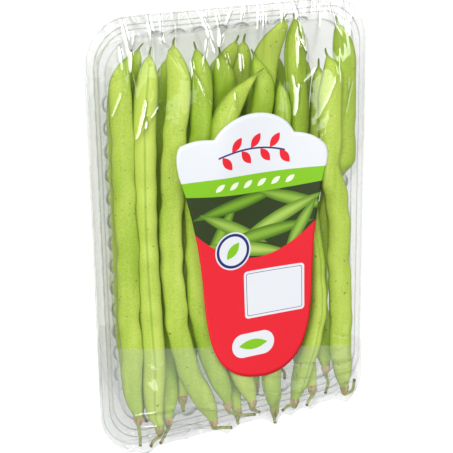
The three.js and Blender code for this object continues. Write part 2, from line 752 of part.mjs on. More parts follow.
// The label's outline: a raised round middle between two shoulders, sides that draw in
// and a round foot.
function labelOutline() {
  const shape = new THREE.Shape();
  shape.moveTo(-34.5, 46);
  shape.quadraticCurveTo(-38, 42, -35, 30);
  shape.quadraticCurveTo(-24, 0, -22, -30);
  shape.bezierCurveTo(-20, -62, -20, -86, 14, -87);
  shape.bezierCurveTo(38, -86, 42, -66, 43, -40);
  shape.quadraticCurveTo(43.5, 4, 49.5, 28);
  shape.quadraticCurveTo(52, 37, 46, 41);
  shape.quadraticCurveTo(40, 45.5, 30, 46.5);
  shape.bezierCurveTo(24, 62, -6, 63, -15, 47.5);
  shape.quadraticCurveTo(-26, 49, -34.5, 46);
  return shape.getPoints(5).slice(0, -1);
}

function labelGeometry(grid) {
  const outline = labelOutline();
  const shares = Array.from({ length: LABEL_RINGS }, (_, i) => 1 - i / LABEL_RINGS);
  const middle = new THREE.Vector2(LABEL_MIDDLE.x, LABEL_MIDDLE.y);
  const rise = (x, y, lift) => point(x, y, filmHeight(grid, x, y) + LABEL_LIFT + lift);
  const ring = (share, lift) =>
    outline.map((p) => {
      const spot = middle.clone().lerp(p, share);
      return rise(spot.x, spot.y, lift);
    });
  const skin = new Skin();
  const under = [...shares].reverse().map((share) => ring(share, 0));
  const above = shares.map((share) => ring(share, LABEL));
  skin.startCap(under[0], rise(middle.x, middle.y, 0));
  skin.loft([...under, ...above]);
  skin.endCap(above[above.length - 1], rise(middle.x, middle.y, LABEL));
  return skin.geometry();
}

const pack = new THREE.Group();
const add = (name, geometry, material) => {
  const mesh = new THREE.Mesh(geometry, material);
  mesh.name = name;
  pack.add(mesh);
  return mesh;
};

add("tray", trayGeometry(), trayMaterial);
const heap = BEANS.map(prepare);
settle(heap);
const pods = heap.map((bean, i) => {
  const number = String(i + 1).padStart(2, "0");
  return add(`bean_${number}`, beanGeometry(bean), podMaterial);
});

const grid = filmGrid();
stretchOver(
  grid,
  pods.flatMap((pod) => {
    const place = pod.geometry.getAttribute("position");
    return Array.from({ length: place.count }, (_, i) => new THREE.Vector3().fromBufferAttribute(place, i));
  }),
);
add("film", filmGeometry(grid), filmMaterial);
add("label", labelGeometry(grid), labelMaterial);

const box = new THREE.Box3().setFromObject(pack);
const centre = box.getCenter(point(0, 0, 0));
pack.position.set(-centre.x, -centre.y, -box.min.z);
export default pack;
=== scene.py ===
import bpy
import numpy as np
from mathutils import Matrix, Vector
from numpy.linalg import norm


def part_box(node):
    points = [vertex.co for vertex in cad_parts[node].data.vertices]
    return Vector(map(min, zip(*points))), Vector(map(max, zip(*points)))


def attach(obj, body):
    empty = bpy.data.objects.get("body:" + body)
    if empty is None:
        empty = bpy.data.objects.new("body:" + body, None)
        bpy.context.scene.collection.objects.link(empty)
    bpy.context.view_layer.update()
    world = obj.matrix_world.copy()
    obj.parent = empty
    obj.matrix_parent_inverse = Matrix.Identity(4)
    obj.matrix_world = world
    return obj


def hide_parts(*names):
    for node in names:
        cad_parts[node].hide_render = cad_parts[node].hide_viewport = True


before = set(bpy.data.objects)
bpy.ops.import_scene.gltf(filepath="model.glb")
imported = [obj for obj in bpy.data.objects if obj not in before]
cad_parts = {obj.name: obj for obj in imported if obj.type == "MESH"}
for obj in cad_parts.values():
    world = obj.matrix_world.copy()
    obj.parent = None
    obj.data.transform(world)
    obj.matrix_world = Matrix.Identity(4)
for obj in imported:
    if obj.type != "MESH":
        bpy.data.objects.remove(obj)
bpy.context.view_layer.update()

MM = 0.001
TRAY_LOW, TRAY_HIGH = (np.array(corner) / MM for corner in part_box("tray"))
RIM_MIDDLE = np.array([*(TRAY_LOW + TRAY_HIGH)[:2] / 2, TRAY_HIGH[2]])
HALF_X, HALF_Y = (TRAY_HIGH - TRAY_LOW)[:2] / 2
FLOOR_Z = -RIM_MIDDLE[2]

# Tray, as distances in from the rim's edge and heights from the rim
CORNER = 22.0
CORNER_TIGHTENS = 0.45
SHEET = 0.5
FLANGE = 4.0
STEP_IN = 6.7
LEDGE_IN = 10.8
LEDGE_Z = -2.0
DEPTH = 33.0
BASE_IN = 17.8
FLUTE_PITCH = 11.7
FLUTE_WIDTH = 6.5
FLUTE_DEEP = 2.2
FLUTES_X = 8
FLUTES_Y = 13
# How dark the painted shade lines are at the rim's edge, at the two edges of its step, at
# the top of the flutes and at the base
PAINTED_BEND_SHADES = (0.5, 0.9, 0.7, 1.1, 0.4)

# Film: how far its edge clears the rim, and how round its corners are at the stem end
FILM_CLEAR = 0.8
PUSHED_CORNER = 11.0
# Where along x the stems push it out and how far, half the width of each tent, the least
# push, how hollow a tent's sides are (1 is straight), and where the push starts along y
TENTS = np.array([
    (-67, 4.5), (-56, 5.5), (-32, 3), (-7, 6.5), (21, 6.8), (33, 5.5), (46, 5), (70, 6.5)
])
TENT_REACH = 15.0
TENT_LEAST = 2.2
TENT_POWER = 1.6
TENT_FROM = 85.0
# Its grid, how far it lies over the heap, and how many rounds draw it taut and press it on
FILM_ROWS = 300
FILM_COLUMNS = 220
FILM_RISE = 0.3
DRAWING_ROUNDS = 2400
PRESSING_ROUNDS = 8
# Its skirt: its top below the rim, its rows, how far the foot clears the base and the
# floor, and the rows of the laps as shares of the foot
SKIRT_TOP = -1.4
SKIRT_ROWS = 14
FOOT_CLEAR = 2.6
FOOT_RISE = 0.05
LAP_ROWS = (0.97, 0.8, 0.6, 0.4, 0.2, 0.04)

# Where the film is double over the stem end: the place and slope of its edge, and how
# much paler it is
LAP_Y = -67.0
LAP_SLOPE = -0.183
LAP_MIST = 0.15
# How much more a full crease mirrors, and how high it is
FOLD_MIRROR = 0.3
FULL_FOLD = 0.5

# Label: the point that its outline shrinks to, how far it lies over the film, its
# thickness, and how many rounds stiffen it and ease it
LABEL_MIDDLE = np.array([9.0, -14.0])
LABEL_OVER = 1.0
PAPER = 0.18
STIFFENING_ROUNDS = 300
EASING_ROUNDS = 60

# Its print: the stalk's arc, its leaves' first place and pitch, the band's two edges, and
# the middles of the badge, the bare panel and the oval
ARC_MIDDLE = (6.0, -22.0)
ARC_RADIUS = 63.0
LEAVES = 7
LEAF_FIRST = -10.5
LEAF_PITCH = 5.5
BAND_TOP = 27.0
BAND_FOOT = 17.0
BADGE = (-4.5, -13.0)
PANEL = (19.0, -38.5)
OVAL = (5.5, -66.0)
# Printed pods: the middle's x and y, turn in degrees, length, width, and how light
PRINTED_PODS = [
    (-12, -4, 62, 40, 7, 0.35), (-2, 12, 12, 52, 7, 0.1), (30, 11, -18, 48, 7, 0.5),
    (22, 2, 24, 56, 7.5, 0.9), (-4, -1, -28, 44, 7, 0.7), (12, -6, 8, 60, 7.5, 0.3),
    (34, -4, 60, 34, 6.5, 0.6), (4, -13, -12, 50, 7.5, 1.0),
]

# Beans: where each pod ends along y, and its stem's bends from that end, as distances in
# x, y and z. A stem without bends is a stub.
STUB = [(0, -5.0, 0), (0.3, -7.0, 0.2)]
STEMS = [
    (-96, [(0, -9, 1), (0.4, -15, 0)]),
    (-103, [(-3, -6, -1), (-5, -9, -1)]),
    (-107, [(4, -4, 1), (10, -5.5, 1)]),
    (-98, [(6, -6.5, 2.5), (15, -8.5, 2.5)]),
    (-101, [(2, -5, -1), (5, -7, -1)]),
    (-95, [(1, -3, 0), (2, -6, -1)]),
    (-92, [(0, -6, 2), (0, -9, 3)]),
    (-110, []),
    (-107, [(-3, -2, 0), (-8, -4, 0)]),
    (-107, [(3, -2, 2), (4, 6, 4)]),
    (-92, [(-0.3, -5.5, 3), (-0.5, -7, 7)]),
    (-101, [(-2.5, -7, 1), (-6, -11, 2)]),
    (-94, []),
    (-105, []),
    (-103, [(-2.5, -5, 1), (-5, -8, 2)]),
    (-90, [(0, -5, 4), (-1, -8, 6)]),
    (-95, [(-1, -6, 4), (-4, -12, 6)]),
    (-84, [(1, -4, 2), (2, -7, 4)]),
    (-82, [(-1, -4, 2), (-3, -8, 4)]),
    (-85, [(1, -3, 2), (1, -5, 3)]),
    (-83, [(-1, -4, 2), (-2, -8, 4)]),
    (-84, [(1, -4, 2), (1, -8, 4)]),
]

# Corners round a pod, how far they crowd towards the seams, its section's power (1 is an
# ellipse, less is fuller), the distance between sections, and how deep a seam is
POD_CORNERS = 48
CROWDING = 0.38
SECTION_POWER = 0.81
SECTION_STEP = 1.2
SEAM_DEEP = 0.02

# Pods on edge turn their seam this much further towards the camera, in degrees
SEAM_TURNS = {2: 34, 7: 30, 9: 28}
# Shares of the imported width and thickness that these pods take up
POD_SHARES = {1: (0.9, 1), 2: (1, 1.14), 3: (0.9, 1), 4: (0.93, 1), 8: (0.93, 1)}
# How far, in millimetres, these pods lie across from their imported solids
POD_SHIFTS = {2: -0.7, 3: 2.0, 4: 1.6}
# How much lighter or deeper these pods are than the mean
POD_SHADES = {1: 0, 2: 0.3, 3: 0.15, 4: -0.15, 5: 0.15, 8: 0.1, 10: 0.2, 17: 0.1}

# Neck: its length, and its shares of the pod's width and thickness
NECK = 11.0
NECK_WIDE = 0.6
NECK_THICK = 0.64
# Beak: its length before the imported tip, the shoulder's length behind it and how blunt
# that is (less is blunter), and the beak's half width and half thickness
BEAK = 0.8
SHOULDER = 16.0
BLUNTNESS = 0.62
BEAK_WIDE = 0.62
BEAK_THICK = 0.55
# The beak's drawn-out point: its longest reach, its rows, where it has to end before the
# tray's wall, and how much further it may reach over the ledge
BEAK_REACH = 3.6
BEAK_ROWS = 7
BEAK_LIMIT = 100.0
OVER_LEDGE = 6.0
# Seeds: how far apart they are, and how long the swelling is over each
SEED_PITCH = 17.0
SEED_LENGTH = 5.4
# A pod wanders from side to side by sums of sines, and up and down by one (size, length)
WANDER = [(0.3, 9), (0.34, 4.3), (0.2, 2.3)]
WANDER_UP = (0.15, 11)

# Camera, measured from the rim's middle, and the photograph's size in pixels
CAMERA_PLACE = np.array([-301.0, 200.0, 546.5])
CAMERA_RIGHT = np.array([0.8775, -0.0148, 0.4795])
CAMERA_UP = np.array([0.1597, 0.9515, -0.2630])
FOCAL_PIXELS = 1268.0
PHOTO_PIXELS = 453
SENSOR = 36.0

# Light: the sky's and the floor's own glow, and the soft boxes (place and size in metres,
# power in watts)
SKY_GLOW = 0.42
FLOOR_GLOW = 0.35
FLOOR_HALF = 6.0
SOFT_BOXES = {"key": ((-1.1, 0.9, 1.4), (0.8, 0.8), 27), "fill": ((0.9, 0.5, 1.6), (0.9, 0.9), 9)}

# Soft boxes that only shine back from smooth surfaces hang level over the rim. Each is
# given by the patch of level film that mirrors it to the camera, in millimetres: its
# middle, size, turn in degrees and shape, and by its radiance.
SHINE_HEIGHT = 1000.0
SHINE = [
    ((-270, 220), (200, 340), 0, "RECTANGLE", 3.5),
    ((300, 250), (220, 340), 0, "RECTANGLE", 4.0),
    ((-75, 100), (30, 50), 8, "RECTANGLE", 1.5),
    ((60, 330), (90, 90), 0, "ELLIPSE", 3.0),
    ((10, -120), (240, 60), -10.4, "RECTANGLE", 0.8),
]


def to_pack_frame(points):
    """Points in millimetres from the rim's middle, as metres in the pack's frame."""
    return (np.asarray(points, float) + RIM_MIDDLE) * MM


def grid_quads(rows, columns, wraps):
    """Quads of a grid whose corner number is row * columns + column. A wrapped grid's last
    column joins its first."""
    steps = columns if wraps else columns - 1
    row, column = np.meshgrid(np.arange(rows - 1), np.arange(steps), indexing="ij")
    here = (row * columns + column).ravel()
    beside = (row * columns + (column + 1) % columns).ravel()
    return np.stack([here, beside, beside + columns, here + columns], axis=1)


def cap_fan(ring, pole, opens_down):
    """Triangles from a ring of corner numbers to one pole."""
    after = np.roll(ring, -1)
    pole = np.full(len(ring), pole)
    return np.stack([after, ring, pole] if opens_down else [ring, after, pole], axis=1)


def make_mesh(name, points, faces):
    """A smooth-shaded mesh object from corners in millimetres and lists of faces."""
    mesh = bpy.data.meshes.new(name)
    polygons = [face for group in faces for face in group.tolist()]
    mesh.from_pydata(to_pack_frame(points).tolist(), [], polygons)
    mesh.polygons.foreach_set("use_smooth", np.full(len(mesh.polygons), True))
    mesh.update()
    piece = bpy.data.objects.new(name, mesh)
    bpy.context.scene.collection.objects.link(piece)
    return piece


def closed_tube(rings):
    """Corners and faces of a skin round a row of rings, each closed end drawn to its middle.
    Rings turn anticlockwise seen from the last one."""
    rows, columns = rings.shape[:2]
    poles = np.stack([rings[0].mean(axis=0), rings[-1].mean(axis=0)])
    points = np.concatenate([rings.reshape(-1, 3), poles])
    first = np.arange(columns)
    last = first + (rows - 1) * columns
    count = rows * columns
    caps = [cap_fan(first, count, True), cap_fan(last, count + 1, False)]
    return points, [grid_quads(rows, columns, True), *caps]


def add_values(piece, name, values):
    """Stores one number a corner, for the materials to read."""
    stored = piece.data.attributes.new(name, "FLOAT", "POINT")
    stored.data.foreach_set("value", np.ravel(values).astype(np.float32))


def dress(piece, node, slot, *materials):
    """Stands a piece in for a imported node, on the pack's one body, with its materials."""
    for material in materials:
        piece.data.materials.append(material)
    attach(piece, "root")
    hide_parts(node)


def smooth_step(value):
    """0 below 0, 1 above 1 and a smooth rise between."""
    value = np.clip(value, 0, 1)
    return value * value * (3 - 2 * value)


def bell(distance, width):
    """1 at no distance, falling to 0: e to minus the square of distance over width."""
    return np.exp(-((distance / width) ** 2))


def through(stations, values, places):
    """A smooth curve through values at rising stations: between two stations a cubic whose
    slopes are those of the chords round each station."""
    slopes = np.gradient(values, stations, axis=0)
    k = np.clip(np.searchsorted(stations, places) - 1, 0, len(stations) - 2)
    span = (stations[k + 1] - stations[k])[:, None]
    t = (places - stations[k])[:, None] / span
    start, end = values[k], values[k + 1]
    rise = t * t * (3 - 2 * t)
    return (
        start * (1 - rise) + end * rise
        + span * (slopes[k] * t * (1 - t) ** 2 - slopes[k + 1] * t * t * (1 - t))
    )


class Value:
    """A number that changes over a surface: a shader socket with arithmetic."""

    def __init__(self, finish, socket):
        self.finish = finish
        self.socket = socket

    def math(self, operation, *others, swap=False):
        """One step of arithmetic with this value first, or last if swapped."""
        terms = [self, *others]
        if swap:
            terms.reverse()
        return self.finish.node("Math", dict(enumerate(terms)), operation=operation)

    def __add__(self, other):
        return self.math("ADD", other)

    __radd__ = __add__

    def __sub__(self, other):
        return self.math("SUBTRACT", other)

    def __rsub__(self, other):
        return self.math("SUBTRACT", other, swap=True)

    def __mul__(self, other):
        return self.math("MULTIPLY", other)

    __rmul__ = __mul__

    def __truediv__(self, other):
        return self.math("DIVIDE", other)

    def __pow__(self, other):
        return self.math("POWER", other)

    def __neg__(self):
        return self * -1

    def __abs__(self):
        return self.math("ABSOLUTE")

    def least(self, other):
        return self.math("MINIMUM", other)

    def most(self, other):
        return self.math("MAXIMUM", other)

    def part(self, index):
        """One of a vector's three parts."""
        return self.finish.node("SeparateXYZ", {0: self}, output=index)

    def between(self, low, high):
        """0 below low, 1 above high and a smooth rise between."""
        limits = {"Value": self, "From Min": low, "From Max": high}
        return self.finish.node("MapRange", limits, interpolation_type="SMOOTHSTEP")


class Finish:
    """One material under construction."""

    def __init__(self, name):
        self.material = bpy.data.materials.new(name)
        self.material.use_nodes = True
        self.tree = self.material.node_tree
        self.tree.nodes.clear()

    def node(self, kind, inputs=None, output=0, **settings):
        """Adds a node: its type, its settings first, then the values or links of its sockets."""
        node = self.tree.nodes.new("ShaderNode" + kind)
        for name, value in settings.items():
            setattr(node, name, value)
        for name, value in (inputs or {}).items():
            if isinstance(value, Value):
                self.tree.links.new(value.socket, node.inputs[name])
            else:
                node.inputs[name].default_value = value
        return Value(self, node.outputs[output])

    def place(self):
        """Where a point is in the pack's frame, in metres."""
        return self.node("TexCoord", output="Object")

    def plan(self):
        """Where a point is across and along, in millimetres from the rim's middle."""
        place = self.place()
        return [place.part(axis) / MM - float(RIM_MIDDLE[axis]) for axis in (0, 1)]

    def stored(self, name):
        """A number that the mesh stores at its corners."""
        return self.node("Attribute", output="Fac", attribute_name=name)

    def noise(self, scale, detail=2.0, stretch=(1, 1, 1)):
        """Cloudy values about 0.5; scale is per metre along each axis of stretch."""
        spread = self.node("Mapping", {"Vector": self.place(), "Scale": stretch})
        return self.node("TexNoise", {"Vector": spread, "Scale": scale, "Detail": detail})

    def mix(self, share, first, second):
        """Blends two colours: the first where share is 0, the second where it is 1."""
        colours = {0: share, 6: colour(first), 7: colour(second)}
        return self.node("Mix", colours, output=2, data_type="RGBA")

    def bump(self, height, distance, strength=1.0):
        """The surface's direction over small hills: a height of 1 is distance metres high."""
        return self.node("Bump", {"Height": height, "Distance": distance, "Strength": strength})

    def close(self, shader):
        """Ends the material with its shader."""
        output = self.tree.nodes.new("ShaderNodeOutputMaterial")
        self.tree.links.new(shader.socket, output.inputs["Surface"])
        return self.material


def colour(value):
    """An RGBA colour from red, green and blue, or a link as it is."""
    return value if isinstance(value, Value) else (*value, 1)


def srgb(red, green, blue):
    """A colour given as it looks on a screen, 0 to 255, as light."""
    share = np.array([red, green, blue]) / 255
    return tuple(np.where(share <= 0.04045, share / 12.92, ((share + 0.055) / 1.055) ** 2.4))


def pod_material():
    """Waxy green skin: clouds and fine flecks of lighter and deeper green, darker seams, a
    dark beak tip, a few brown specks, and painted shade: a deeper green where it turns away,
    that stands in for the shade between pods."""
    finish = Finish("pod_skin")
    seam = finish.stored("seam")
    tip = finish.stored("tip")
    shade = finish.stored("shade")
    clouds = finish.noise(38, 3, (1, 0.35, 1))
    streaks = finish.noise(260, 2, (1, 0.06, 1))
    flecks = finish.noise(1250, 1)
    specks = finish.noise(420, 1).between(0.735, 0.76)
    light = (clouds - 0.5) * 1.5 + (streaks - 0.5) * 0.6 + (flecks - 0.5) * 0.75 + shade
    skin = finish.mix((light + 0.5).between(0, 1), srgb(156, 192, 48), srgb(206, 227, 102))
    skin = finish.mix(seam * 0.5, skin, srgb(112, 160, 30))
    # Painted shade: the skin turns deeper green where it turns away, as the shade between pods
    slant = finish.node("LayerWeight", {"Blend": 0.5}, output="Facing")
    skin = finish.mix(slant**3 * 0.75, skin, srgb(66, 104, 18))
    skin = finish.mix(tip * 0.75, skin, srgb(70, 92, 30))
    skin = finish.mix(specks * 0.6, skin, srgb(104, 96, 40))
    rough = 0.46 + (flecks - 0.5) * 0.12 + (clouds - 0.5) * 0.1
    relief = finish.bump(flecks * 0.6 + streaks * 0.8, 0.00025, 0.35)
    inner = {
        "Subsurface Weight": 0.12,
        "Subsurface Radius": (0.004, 0.006, 0.001),
        "Subsurface Scale": 0.6,
    }
    outer = {"Base Color": skin, "Roughness": rough, "Normal": relief, "Specular IOR Level": 0.35}
    return finish.close(finish.node("BsdfPrincipled", {**outer, **inner}))


def stem_material():
    """Dry brown calyx that turns yellow-green along the stem, with ribs along it and a
    brown broken end."""
    finish = Finish("calyx_and_stem")
    out = finish.stored("out")
    ribs = finish.noise(900, 3, (1, 0.2, 1))
    dry = finish.mix(ribs.between(0.3, 0.7), srgb(168, 142, 84), srgb(212, 190, 132))
    fresh = finish.mix(ribs.between(0.3, 0.7), srgb(138, 152, 62), srgb(190, 198, 104))
    skin = finish.mix(out.between(0.16, 0.42), dry, fresh)
    skin = finish.mix(out.between(0.9, 0.97), skin, srgb(112, 84, 46))
    relief = finish.bump(ribs, 0.0006, 0.6)
    shader = finish.node("BsdfPrincipled", {"Base Color": skin, "Roughness": 0.6, "Normal": relief})
    return finish.close(shader)


def clear_sheet(name, clear, faint, haze, painted_slant_shade, relief, lapped=False, bent=False):
    """Clear plastic sheet. Its mirror is the faint share and 0.4 times the slant's fifth
    power, its grey haze a share and another times the sixth power, and its waves are
    relief metres high. The grey that grows with the slant is painted shade, for the dark
    edges of a clear sheet seen at a slant. A lapped sheet is double and paler past a line
    across the stem end, and its creases mirror more. A bent sheet's bends are painted shade:
    thin dark lines."""
    finish = Finish(name)
    slant = finish.node("LayerWeight", {"Blend": 0.5}, output="Facing")
    mirror = faint + slant**5 * 0.4
    # Painted shade: grey that grows with the slant, for the dark edges of a clear sheet
    mist = haze + slant**6 * painted_slant_shade
    if lapped:
        mirror = mirror + finish.stored("fold") * FOLD_MIRROR
        x, y = finish.plan()
        past = (LAP_Y - y + x * LAP_SLOPE).between(-0.3, 0.3)
        mist = mist + past * LAP_MIST
    waves = finish.noise(90, 2)
    through_it = finish.node("BsdfTransparent", {"Color": (clear, clear, clear, 1)})
    grey = finish.node("BsdfDiffuse", {"Color": (0.72, 0.75, 0.75, 1)})
    uneven = finish.bump(waves, relief)
    gloss = finish.node("BsdfGlossy", {"Color": (1, 1, 1, 1), "Roughness": 0.05, "Normal": uneven})
    misty = finish.node("MixShader", {0: mist, 1: through_it, 2: grey})
    # Painted shade: thin dark lines along the sheet's bends
    if bent:
        dark = finish.node("BsdfDiffuse", {"Color": (0.12, 0.13, 0.12, 1)})
        misty = finish.node("MixShader", {0: finish.stored("bend") * 0.5, 1: misty, 2: dark})
    return finish.close(finish.node("MixShader", {0: mirror, 1: misty, 2: gloss}))


def ring_stations(node, end):
    """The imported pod's upright rings, in millimetres from the rim's middle: their places
    along y, and each one's middle, half width and half thickness as vectors. Eight corners
    at one place along y make a ring. The half width is the corner that is furthest out the
    way the widest ring is long, and the half thickness the one furthest out square to it."""
    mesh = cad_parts[node].data
    corners = np.empty(len(mesh.vertices) * 3, np.float32)
    mesh.vertices.foreach_get("co", corners)
    corners = corners.reshape(-1, 3) / MM - RIM_MIDDLE
    corners = np.unique(corners.round(3), axis=0)
    corners = corners[np.argsort(corners[:, 1])]
    corners = corners[corners[:, 1] > end + 3.3]
    cuts = np.flatnonzero(np.diff(corners[:, 1]) > 0.03) + 1
    rings = [ring for ring in np.split(corners, cuts) if len(ring) == 8]
    widest = max(rings, key=lambda ring: np.ptp(ring[:, 0]) ** 2 + np.ptp(ring[:, 2]) ** 2)
    spread = widest - widest.mean(axis=0)
    across = spread[np.argmax((spread**2).sum(axis=1))][[0, 2]]
    across /= np.hypot(*across)
    if across[0] < 0:
        across = -across
    stations = []
    for ring in rings:
        middle = ring.mean(axis=0)
        spread = ring - middle
        wide = spread[np.argmax(spread[:, [0, 2]] @ across)]
        thick = spread[np.argmax(spread[:, [0, 2]] @ (-across[1], across[0]))]
        stations.append(np.concatenate([middle, wide, thick]))
    stations = np.array(stations)
    return stations[:, 1], stations


def turned_halves(wide, thick, degrees):
    """A section's halves turned about the pod. Each keeps its length, with a cosine's share
    of its own direction and a sine's share of the other's."""
    turn = np.radians(degrees)
    narrower = (norm(thick, axis=1) / norm(wide, axis=1))[:, None]
    return (
        wide * np.cos(turn) + thick / narrower * np.sin(turn),
        thick * np.cos(turn) - wide * narrower * np.sin(turn),
    )


def narrow_ends(wide, thick, y, end, tip):
    """The halves drawn in to the neck by a smooth step, and from the shoulder on by a power
    of a quarter sine wave, down to the beak's size."""
    neck = smooth_step((y - end + 1) / NECK)[:, None]
    wide = wide * (NECK_WIDE + (1 - NECK_WIDE) * neck)
    thick = thick * (NECK_THICK + (1 - NECK_THICK) * neck)
    first = np.searchsorted(y, tip - BEAK - SHOULDER)
    rounded = np.clip((tip - BEAK - y[first:]) / SHOULDER, 0, 1)
    rounded = np.sin(rounded * np.pi / 2) ** BLUNTNESS
    for half, least in ((wide, BEAK_WIDE), (thick, BEAK_THICK)):
        size = norm(half[first:], axis=1)
        goal = np.maximum(norm(half[first]) * rounded, least)
        half[first:] *= (goal / size)[:, None]
    return wide, thick


def swell_and_bend(middle, wide, thick, y, end, tip, random):
    """Each seed swells the pod by a bell, in thickness more than in width. The middle
    wanders aside by a sum of sines, and up and down by one. All of it fades at both ends."""
    free = smooth_step((y - end - 12) / 20) * smooth_step((tip - 26 - y) / 20)
    count = int((tip - end - 40) / SEED_PITCH)
    seeds = np.linspace(end + 26, tip - 34, count) + random.normal(0, 1.6, count)
    swell = bell(y[:, None] - seeds, SEED_LENGTH).dot(random.uniform(0.55, 1.0, count))
    thick = thick * (1 + free * (0.07 * swell - 0.02))[:, None]
    wide = wide * (1 + free * (0.025 * swell - 0.01))[:, None]
    phase = random.uniform(0, 2 * np.pi, 4)
    bent = sum(size * np.sin(y / length + start) for (size, length), start in zip(WANDER, phase))
    middle = middle + wide * (free * bent / norm(wide, axis=1))[:, None]
    middle[:, 2] += free * WANDER_UP[0] * np.sin(y / WANDER_UP[1] + phase[3])
    return middle, wide, thick


def add_beak(middle, wide, thick, tip, random):
    """The pod drawn on past its packed tip. Its middle goes straight on and bends aside by
    the square of the way, its section shrinks by a third, and its last ring is half of that."""
    limit = BEAK_LIMIT if middle[-1, 2] < LEDGE_Z - 1 else BEAK_LIMIT + OVER_LEDGE
    share = np.linspace(0, 1, BEAK_ROWS + 1)[1:, None]
    ahead = middle[-1] - middle[-4]
    drawn = middle[-1] + ahead / norm(ahead) * share * np.clip(limit - tip, 0.5, BEAK_REACH)
    drawn[:, 0] += share[:, 0] ** 2 * random.uniform(-1.2, 1.4)
    middle = np.concatenate([middle, drawn])
    wide = np.concatenate([wide, wide[-1] * (1 - 0.35 * share)])
    thick = np.concatenate([thick, thick[-1] * (1 - 0.35 * share)])
    wide[-1] *= 0.5
    thick[-1] *= 0.5
    return middle, wide, thick


def pod_rings(middle, wide, thick):
    """Rings round a pod, and how near each corner is to a seam. A ring takes a power of the
    cosine along its half width and of the sine along its half thickness, and a narrow bell
    pinches it at its seams."""
    turn = np.linspace(0, 2 * np.pi, POD_CORNERS, endpoint=False)
    turn = turn - CROWDING * np.sin(2 * turn)
    from_seam = np.abs(np.arcsin(np.sin(turn)))
    across = np.sign(np.cos(turn)) * np.abs(np.cos(turn)) ** SECTION_POWER
    up = np.sign(np.sin(turn)) * np.abs(np.sin(turn)) ** SECTION_POWER
    across = across * (1 - SEAM_DEEP * bell(from_seam, 0.06))
    rings = middle[:, None] + across[:, None] * wide[:, None] + up[:, None] * thick[:, None]
    seam = np.broadcast_to(bell(from_seam, 0.055), rings.shape[:2])
    return rings[:, ::-1], seam[:, ::-1]


def pod_surface(node, end, number, random):
    """A pod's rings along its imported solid, and how near each corner is to a seam and to
    the dark tip."""
    places, stations = ring_stations(node, end)
    tip = places[-1]
    y = np.linspace(end + 0.6, tip, int((tip - end) / SECTION_STEP))
    shape = through(places, stations, y)
    middle, wide, thick = shape[:, :3], shape[:, 3:6], shape[:, 6:9]
    middle[:, 0] += POD_SHIFTS.get(number, 0) * smooth_step((y + 90) / 110)
    shares = POD_SHARES.get(number, (1, 1))
    wide, thick = turned_halves(wide * shares[0], thick * shares[1], SEAM_TURNS.get(number, 0))
    wide, thick = narrow_ends(wide, thick, y, end, tip)
    middle, wide, thick = swell_and_bend(middle, wide, thick, y, end, tip, random)
    middle, wide, thick = add_beak(middle, wide, thick, tip, random)
    rings, seam = pod_rings(middle, wide, thick)
    y = np.concatenate([y, tip + np.linspace(0, 1, BEAK_ROWS + 1)[1:] * 4])
    dark = np.broadcast_to(smooth_step(1 - (tip + 2 - y) / 6)[:, None], rings.shape[:2])
    return rings, seam, dark


def stem_surface(root, end, bends, random):
    """A calyx and its stem: a round tube along a bent path, whose radius falls from the
    calyx's lip to the stem. A cosine of five waves gives the lip its lobes. With it comes
    how far out along the stem each corner is, 0 to 1."""
    foot = np.array([root[0], end, root[2]])
    knots = np.array([(0, 2.6, 0), (0, -1.2, 0), (0, -3.4, 0), *(bends or STUB)]) + foot
    reach = np.concatenate([[0], np.cumsum(norm(np.diff(knots, axis=0), axis=1))])
    out = np.linspace(0, reach[-1], 34)
    path = through(reach, knots, out)
    ahead = np.gradient(path, axis=0)
    ahead /= norm(ahead, axis=1)[:, None]
    side = np.cross(ahead, (0, 0, 1))
    side /= norm(side, axis=1)[:, None]
    rise = np.cross(side, ahead)
    turn = np.linspace(0, 2 * np.pi, 20, endpoint=False)
    radius = np.interp(
        out,
        [0, 0.4, 2.0, 3.6, 5.2, 6.6, 8.5, reach[-1] - 0.8, reach[-1]],
        [1.6, 2.2, 2.5, 2.3, 1.6, 1.05, 0.85, 0.8, 0.9],
    )
    lobes = 1 + 0.07 * np.cos(5 * turn + random.uniform(0, 6))
    lobes = 1 + (lobes - 1) * bell(out - 2.2, 3.2)[:, None]
    radius = (radius[:, None] * lobes)[:, :, None]
    cosine, sine = np.cos(turn)[:, None], np.sin(turn)[:, None]
    rings = path[:, None] + radius * (cosine * side[:, None] + sine * rise[:, None])
    share = np.broadcast_to((out / reach[-1])[:, None], rings.shape[:2])
    return rings[:, ::-1], share


def make_bean(number, skin, stem_skin):
    """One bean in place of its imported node: the pod, with its calyx and stem sunk in it."""
    node = f"bean_{number:02d}"
    end, bends = STEMS[number - 1]
    random = np.random.default_rng(100 + number)
    pod, seam, dark = pod_surface(node, end, number, random)
    root = pod[0].mean(axis=0)
    stem, out = stem_surface(root, end, bends, random)
    pod_points, pod_faces = closed_tube(pod)
    stem_points, stem_faces = closed_tube(stem[::-1][:, ::-1])
    count = len(pod_points)
    faces = pod_faces + [group + count for group in stem_faces]
    piece = make_mesh(node + "_pod", np.concatenate([pod_points, stem_points]), faces)
    blank = np.zeros(len(stem_points))
    add_values(piece, "seam", np.concatenate([np.ravel(seam), [0, 0], blank]))
    add_values(piece, "tip", np.concatenate([np.ravel(dark), [0, 1], blank]))
    shade = POD_SHADES.get(number, random.uniform(-0.28, 0.28))
    add_values(piece, "shade", np.full(count + len(blank), shade))
    add_values(piece, "out", np.concatenate([np.zeros(count), np.ravel(out[::-1]), [1, 0]]))
    of_stem = np.arange(len(piece.data.polygons)) >= sum(len(group) for group in pod_faces)
    dress(piece, node, "bean", skin, stem_skin)
    piece.data.polygons.foreach_set("material_index", of_stem.astype(np.int32))
    return pod_points, stem_points


